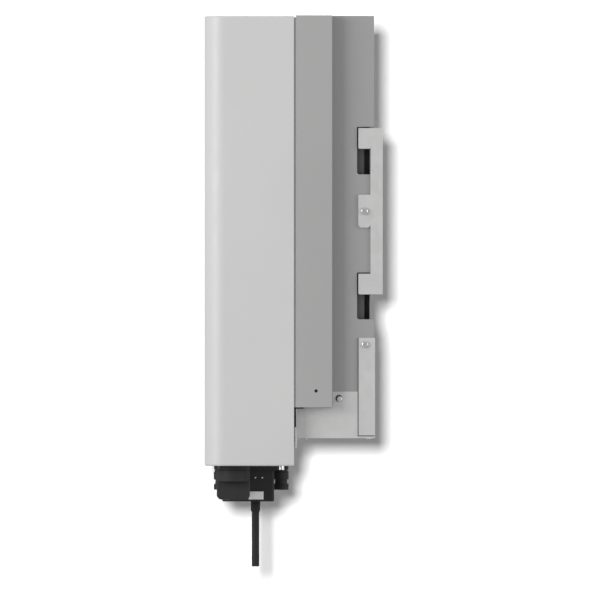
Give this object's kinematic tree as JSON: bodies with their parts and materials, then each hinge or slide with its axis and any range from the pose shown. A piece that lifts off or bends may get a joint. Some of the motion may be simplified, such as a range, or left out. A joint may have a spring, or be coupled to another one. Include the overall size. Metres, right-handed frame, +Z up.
{
  "type": "string inverter",
  "caption": "Wall-mounted string inverter: deep light-grey cover, finned rear cooling duct with fan tray, hook-on wall bracket, underside inlets, rotary switch and antenna.",
  "frame": {"origin": "middle of the wall bracket's four bolt holes, on the wall plane", "axes": "+Z up, front of the unit towards -Y, the wall on the +Y side, +X to the right seen from the front"},
  "size_m": [0.5, 0.2337, 0.7239],
  "materials": {
    "cover_paint": "satin light grey powder coat",
    "housing_paint": "cast, satin mid-grey powder coat",
    "duct_paint": "satin mid-grey powder coat",
    "sink_aluminium": "extruded, dull",
    "zinc_steel": "light grey zinc coated sheet",
    "screw_steel": "bright zinc",
    "seal_rubber": "matt",
    "black_plastic": "fine moulded texture",
    "black_rubber_plastic": "soft touch",
    "antenna_plastic": "satin",
    "fan_plastic": "moulded",
    "window_plastic": "smoked",
    "circuit_board": "solder resist",
    "capacitor_sleeve": "sleeved can",
    "potted_core": "potted winding",
    "relay_plastic": "moulded",
    "copper": "bare"
  },
  "bodies": {
    "enclosure": {"ac_board": "circuit_board", "ac_connector": "black_plastic", "ac_gland_nut": "black_plastic", "ac_terminals": "relay_plastic", "antenna_collar": "antenna_plastic", "antenna_rod": "antenna_plastic", "board_standoffs": "zinc_steel", "boost_inductors": "potted_core", "busbars": "copper", "comm_module": "black_plastic", "connection_box": "zinc_steel", "connector_plate": "zinc_steel", "control_board": "circuit_board", "cover_posts": "zinc_steel", "cover_screws": "screw_steel", "dc_board": "circuit_board", "dc_link_capacitors": "capacitor_sleeve", "dc_switch_base": "black_plastic", "dc_terminals": "relay_plastic", "duct_rear_panel": "duct_paint", "duct_side_left": "duct_paint", "duct_side_right": "duct_paint", "earth_terminal": "screw_steel", "fan_frame_left": "fan_plastic", "fan_frame_middle": "fan_plastic", "fan_frame_right": "fan_plastic", "fan_tray": "zinc_steel", "filter_chokes": "potted_core", "front_cover": "cover_paint", "grid_relays": "relay_plastic", "guard_screws": "screw_steel", "heat_sink": "sink_aluminium", "heat_sink_fins": "sink_aluminium", "inlet_caps": "black_rubber_plastic", "inlet_nuts": "black_plastic", "inlets_negative": "black_plastic", "inlets_positive": "black_plastic", "lid_gasket": "seal_rubber", "lock_screws": "screw_steel", "main_housing": "housing_paint", "outlet_grille": "duct_paint", "power_board": "circuit_board", "power_modules": "black_plastic", "rear_strip_left": "zinc_steel", "rear_strip_right": "zinc_steel", "ribbon_cable": "black_rubber_plastic", "signal_gland": "black_plastic", "status_window": "window_plastic", "stir_fan_frame": "fan_plastic", "strip_screws": "screw_steel", "surge_modules": "relay_plastic", "tray_screws": "screw_steel", "tray_seal": "seal_rubber", "vent_plug": "black_plastic", "wall_bracket": "zinc_steel"},
    "fan_left": {"fan_rotor_left": "fan_plastic"},
    "fan_middle": {"fan_rotor_middle": "fan_plastic"},
    "fan_right": {"fan_rotor_right": "fan_plastic"},
    "stir_fan": {"stir_fan_rotor": "fan_plastic"},
    "dc_switch": {"dc_switch_knob": "black_plastic"}
  },
  "joints": [
    {"name": "dc_switch_turn", "type": "hinge", "parent": "enclosure", "child": "dc_switch", "pos_m": [0.212, -0.196, -0.36], "axis": [0, 0, -1], "range_deg": [0, 90]},
    {"name": "fan_left_spin", "type": "hinge", "parent": "enclosure", "child": "fan_left", "pos_m": [-0.145, -0.06, -0.284], "axis": [0, 0, 1], "continuous": true},
    {"name": "fan_middle_spin", "type": "hinge", "parent": "enclosure", "child": "fan_middle", "pos_m": [0, -0.06, -0.284], "axis": [0, 0, 1], "continuous": true},
    {"name": "fan_right_spin", "type": "hinge", "parent": "enclosure", "child": "fan_right", "pos_m": [0.145, -0.06, -0.284], "axis": [0, 0, 1], "continuous": true},
    {"name": "stir_fan_spin", "type": "hinge", "parent": "enclosure", "child": "stir_fan", "pos_m": [0.065, -0.091, 0.24], "axis": [0, 0, 1], "continuous": true}
  ]
}
